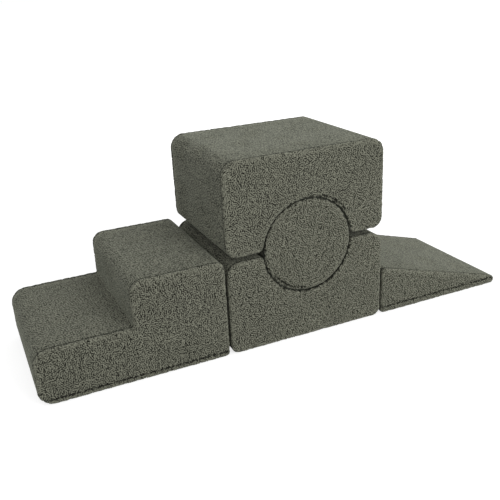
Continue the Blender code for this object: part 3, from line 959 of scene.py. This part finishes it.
def build_module(module, bends, materials, turn=None, strip_seam=None, **edges):
    """All the soft pieces of one module. Turn is the sum of its two heights if it is turned over,
    and strip_seam is where a boxing strip that goes all round meets itself. Edges are the creases
    and the rim of its front panel."""
    name = module["name"]
    seed = MODULE_SEEDS[name]
    front, back = module["front"], module["back"]
    outlines = {}
    for label, spacing in (("fine", FINE), ("medium", MEDIUM), ("coarse", COARSE)):
        outline = trace(bends, spacing)
        outlines[label] = outline if turn is None else turned_over(outline, turn)
    if strip_seam is None:
        run = trace(bends, MEDIUM, closed=False)
    else:
        run = opened_at(outlines["medium"], strip_seam)
    tape_low, tape_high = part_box(name + "_zip_tape")
    slot = flat_corners(tape_low, tape_high, GAP)
    front_node, back_node, strip_node = (name + "_" + part for part in module["panels"])
    seam = SEAM_SET + GAP
    covers = {
        front_node: make_panel(
            front_node + "_pile", outlines["fine"], front, 1, FINE, seed, **edges
        ),
        back_node: make_panel(
            back_node + "_pile", outlines["medium"], back, -1, MEDIUM, seed + BACK_SEED, slot
        ),
        strip_node: make_strip(
            strip_node + "_pile", run, front + seam, back - seam, MEDIUM, seed + STRIP_SEED
        ),
    }
    for node, cover in covers.items():
        dress(cover, name, "teddy_fabric", materials["teddy"], node)
    core = make_foam(name + "_foam", outlines["coarse"], front, back)
    dress(core, name, "foam", materials["foam"], name + "_foam_core")
    tape = make_zip(name + "_zip_coil", tape_low, tape_high)
    dress(tape, name, "zip_tape", materials["tape"], name + "_zip_tape")
    if name + "_bottom_panel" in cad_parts:
        bottom = make_bottom(name + "_bottom_cloth", *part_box(name + "_bottom_panel"))
        dress(bottom, name, "bottom_fabric", materials["bottom"], name + "_bottom_panel")
    for part in ("_zip_slider", "_zip_pull"):
        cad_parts[name + part].data.materials.clear()
        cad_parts[name + part].data.materials.append(materials["metal"])


def module_box(name, front="front_panel", back="back_panel", strip="boxing_strip"):
    """A module's outer faces, read from the frame."""
    low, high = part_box(name + "_" + strip)
    return {
        "name": name,
        "panels": (front, back, strip),
        "left": low.x,
        "right": high.x,
        "bottom": low.z,
        "top": high.z,
        "front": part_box(name + "_" + front)[0].y,
        "back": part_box(name + "_" + back)[1].y,
    }


def floor_seam(module, rise):
    """The seam that joins a front panel to the bottom, pulled up a little above the floor."""
    return straight((module["left"], rise), (module["right"], rise))


def build_climber(materials):
    """The five modules, each from its own profile."""
    stairs = module_box("stairs")
    base = module_box("base_block")
    top = module_box("top_block")
    roller = module_box("roller", "front_disc", "back_disc", "wrap")
    slope = module_box("ramp")
    radius = (roller["right"] - roller["left"]) / 2
    roller_x = (roller["right"] + roller["left"]) / 2
    roller_z = (roller["top"] + roller["bottom"]) / 2
    notch = radius + NOTCH_EASE

    bends = stairs_bends(stairs["left"], stairs["right"], stairs["top"])
    build_module(stairs, bends, materials, creases=[floor_seam(stairs, STAIRS_SEAM_RISE)])

    notch_z = base["top"] + NOTCH_RISE
    bends = notched_bends(
        base["left"], base["right"], base["top"], notch_z, notch,
        BASE_FOOT_RADIUS, BASE_SHOULDER_RADIUS, BASE_LIP_RADIUS,
    )
    # The ring round the roller, where each touching front panel gets painted shade at its rim.
    ring = curved(roller_x, roller_z, radius + NOTCH_EASE / 2)
    build_module(base, bends, materials, rim=ring)

    height = top["top"] - top["bottom"]
    notch_z = roller_z - (NOTCH_EASE - GAP)
    bends = notched_bends(
        top["left"], top["right"], height, top["top"] - notch_z, notch,
        TOP_CROWN_RADIUS, TOP_UNDER_RADIUS, TOP_LIP_RADIUS,
    )
    crown = (roller_x, notch_z + notch)
    seam = curved(roller_x, notch_z, notch + NOTCH_SEAM_OUTSET, *NOTCH_SEAM_ARC)
    build_module(
        top, bends, materials, turn=top["top"], strip_seam=crown, creases=[seam], rim=ring
    )

    full_turn = [bend(roller_x, roller_z, radius, -90, 270 - ROLLER_STEP)]
    seam = curved(roller_x, roller_z, radius - DISC_SEAM_INSET, *DISC_SEAM_ARC)
    foot = (roller_x, roller_z - radius)
    build_module(roller, full_turn, materials, strip_seam=foot, creases=[seam], rim=ring)

    bends = ramp_bends(slope["left"], slope["right"], slope["top"])
    build_module(slope, bends, materials, creases=[floor_seam(slope, RAMP_SEAM_RISE)])


# Studio


def add_camera():
    """The camera of the photograph, turned right of +Y, tipped down and rolled a little."""
    forward = Vector((
        math.sin(CAMERA_YAW) * math.cos(CAMERA_PITCH),
        math.cos(CAMERA_YAW) * math.cos(CAMERA_PITCH),
        -math.sin(CAMERA_PITCH),
    ))
    level = Vector((math.cos(CAMERA_YAW), -math.sin(CAMERA_YAW), 0.0))
    over = level.cross(forward)
    right = level * math.cos(CAMERA_ROLL) + over * math.sin(CAMERA_ROLL)
    up = over * math.cos(CAMERA_ROLL) - level * math.sin(CAMERA_ROLL)
    data = bpy.data.cameras.new("camera")
    data.sensor_width = SENSOR
    data.lens = LENS
    data.clip_end = CLIP_END
    camera = linked("camera", data)
    turn = Matrix((right, up, -forward)).transposed().to_4x4()
    camera.matrix_world = Matrix.Translation(CAMERA_PLACE) @ turn
    bpy.context.scene.camera = camera


def add_light(name, place, target, size, power):
    """A square soft box aimed at a point."""
    data = bpy.data.lights.new(name, "AREA")
    data.shape = "SQUARE"
    data.size = size
    data.energy = power
    light = linked(name, data)
    light.location = place
    light.rotation_euler = (Vector(target) - Vector(place)).to_track_quat("-Z", "Y").to_euler()


def seen_directly(tree):
    """1 for rays from the camera, mirrors and glass, which see the white background."""
    path = tree.nodes.new("ShaderNodeLightPath")
    camera, glossy = path.outputs["Is Camera Ray"], path.outputs["Is Glossy Ray"]
    either = calculated(tree, "MAXIMUM", camera, glossy)
    return calculated(tree, "MAXIMUM", either, path.outputs["Is Transmission Ray"])


def add_world():
    """White where it is seen, and a plain grey light elsewhere."""
    world = bpy.data.worlds.new("studio")
    bpy.context.scene.world = world
    world.use_nodes = True
    tree = world.node_tree
    background = tree.nodes["Background"]
    background.inputs["Color"].default_value = WHITE
    seen = seen_directly(tree)
    unseen = calculated(tree, "SUBTRACT", 1.0, seen)
    lit = calculated(tree, "MULTIPLY", unseen, AMBIENT)
    tree.links.new(calculated(tree, "ADD", lit, seen), background.inputs["Strength"])


def add_floor():
    """A wide pale floor that keeps the climber's shadow and turns white further out."""
    mesh = bpy.data.meshes.new("floor")
    reach = FLOOR_REACH
    corners = [(-reach, -reach, 0), (reach, -reach, 0), (reach, reach, 0), (-reach, reach, 0)]
    mesh.from_pydata(corners, [], [(0, 1, 2, 3)])
    floor = linked("floor", mesh)
    material, tree, shader = new_material("pale_floor", roughness=1.0, specular=0.0)
    set_inputs(shader, {"Base Color": (*FLOOR_COLOUR, 1.0), "Emission Color": WHITE})
    place = tree.nodes.new("ShaderNodeTexCoord")
    far = tree.nodes.new("ShaderNodeVectorMath")
    far.operation = "LENGTH"
    tree.links.new(place.outputs["Object"], far.inputs[0])
    outward = tree.nodes.new("ShaderNodeMapRange")
    ends = {"From Min": NEAR_FLOOR, "From Max": FAR_FLOOR, "To Min": NEAR_GLOW, "To Max": FAR_GLOW}
    set_inputs(outward, ends)
    tree.links.new(far.outputs["Value"], outward.inputs["Value"])
    glow = calculated(tree, "MULTIPLY", seen_directly(tree), outward.outputs["Result"])
    tree.links.new(glow, shader.inputs["Emission Strength"])
    mesh.materials.append(material)


add_camera()
add_world()
add_floor()
for light in LIGHTS:
    add_light(*light)
bpy.context.scene.view_settings.view_transform = "Standard"

build_climber({
    "teddy": teddy_material(),
    "bottom": woven_material("bottom_weave", BOTTOM_GREEN, BOTTOM_THREADS),
    "tape": woven_material("zip_tape_weave", TAPE_GREEN, TAPE_THREADS),
    "foam": foam_material(),
    "metal": metal_material(),
})
